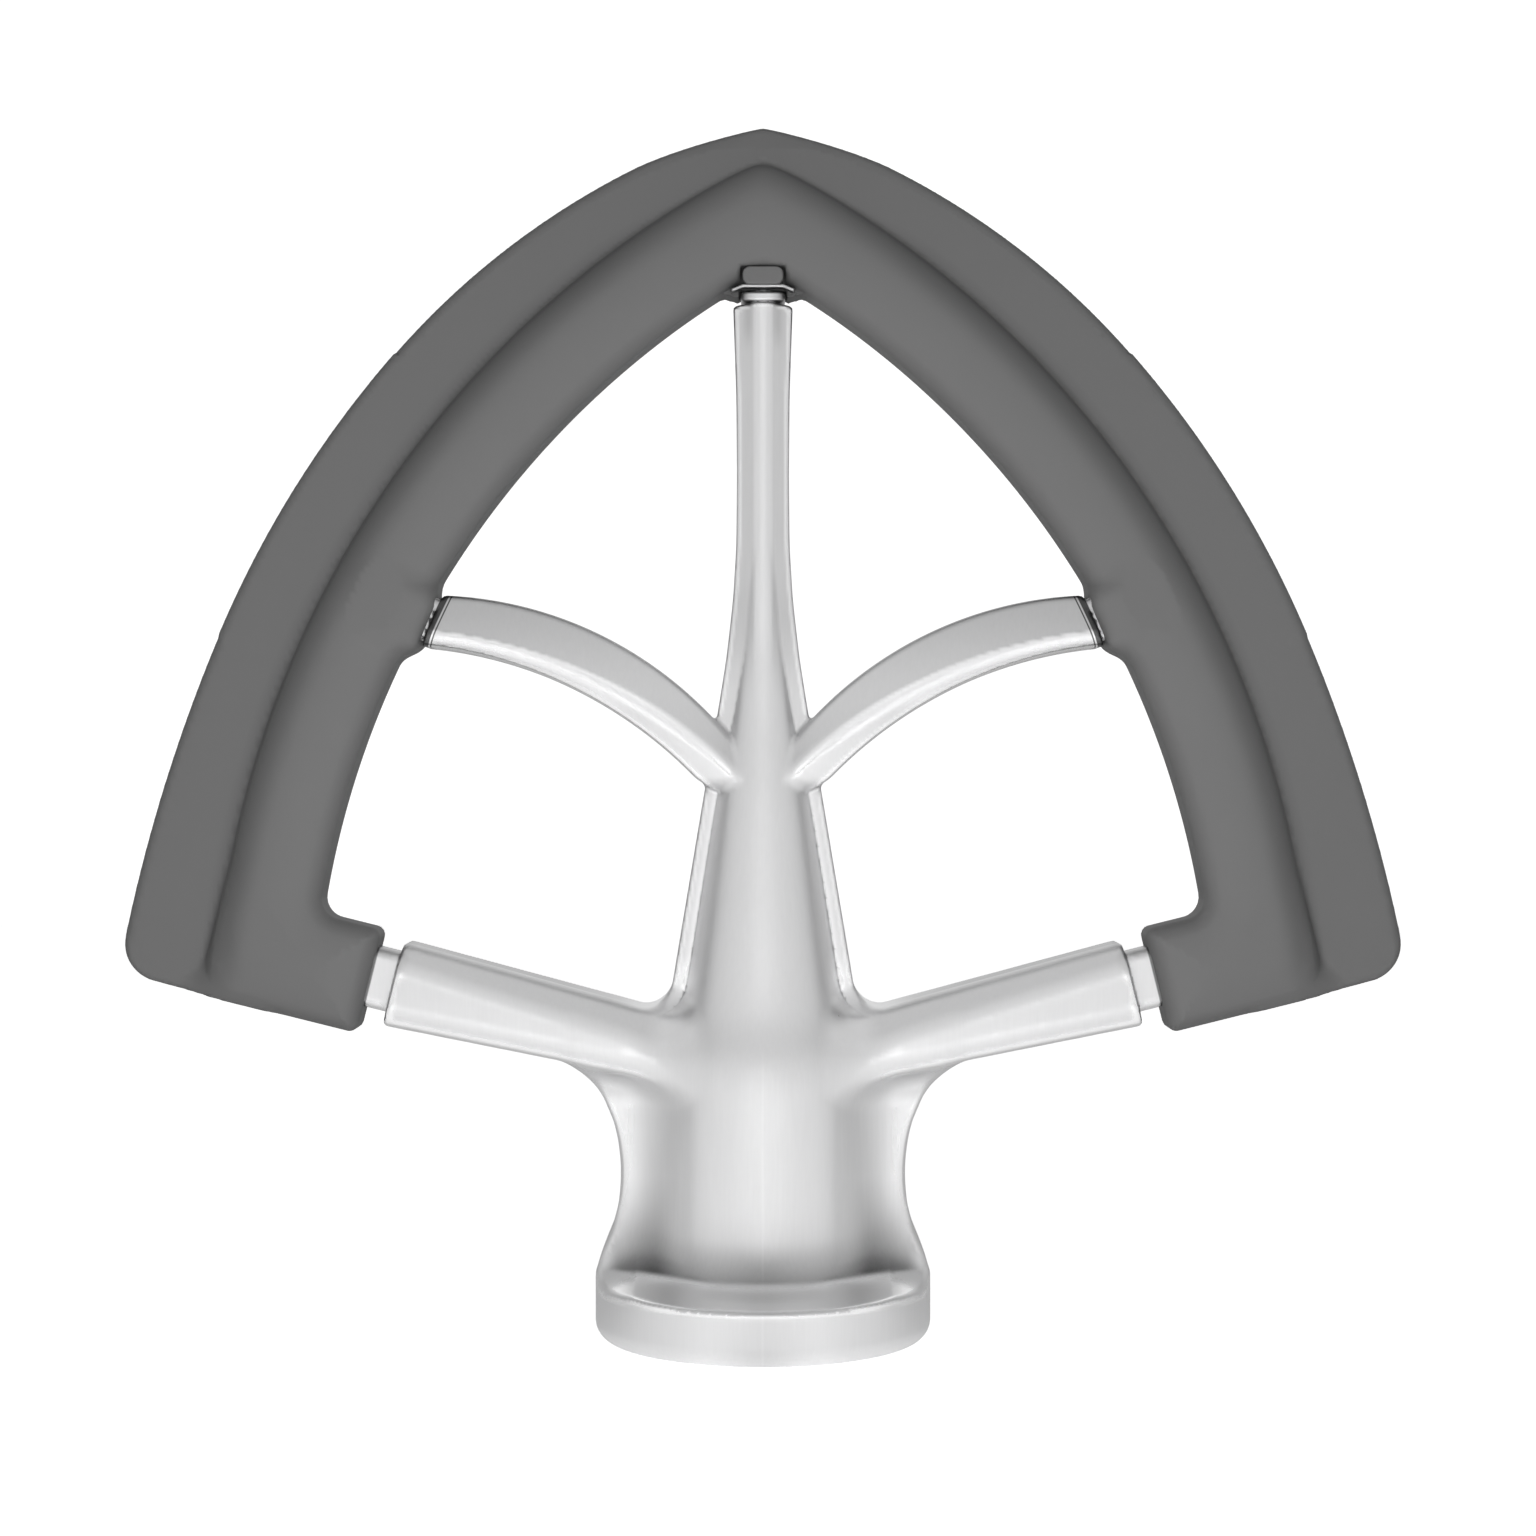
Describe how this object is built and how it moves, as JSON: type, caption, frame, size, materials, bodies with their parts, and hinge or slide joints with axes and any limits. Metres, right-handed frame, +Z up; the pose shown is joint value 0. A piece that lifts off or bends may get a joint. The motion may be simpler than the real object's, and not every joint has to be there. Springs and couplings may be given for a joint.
{
  "type": "stand mixer flat beater",
  "caption": "Flat beater for a stand mixer: a cast metal frame with straight and arched arms and a soft grey scraping edge round a pointed arch.",
  "frame": {"origin": "centre of the shaft bore's mouth, on the end face of the hub collar, which the beater stands on", "axes": "+Z up the shaft axis from the hub to the tip of the arch, +X across the arch, Y through its thickness; the arch is the same on both sides of the XZ and YZ planes"},
  "size_m": [0.15, 0.0392, 0.1423],
  "materials": {
    "cast_metal": "brushed and polished casting",
    "silicone": "matte moulded silicone"
  },
  "bodies": {
    "root": {"beater_frame": "cast_metal", "silicone_edge": "silicone"}
  },
  "joints": []
}
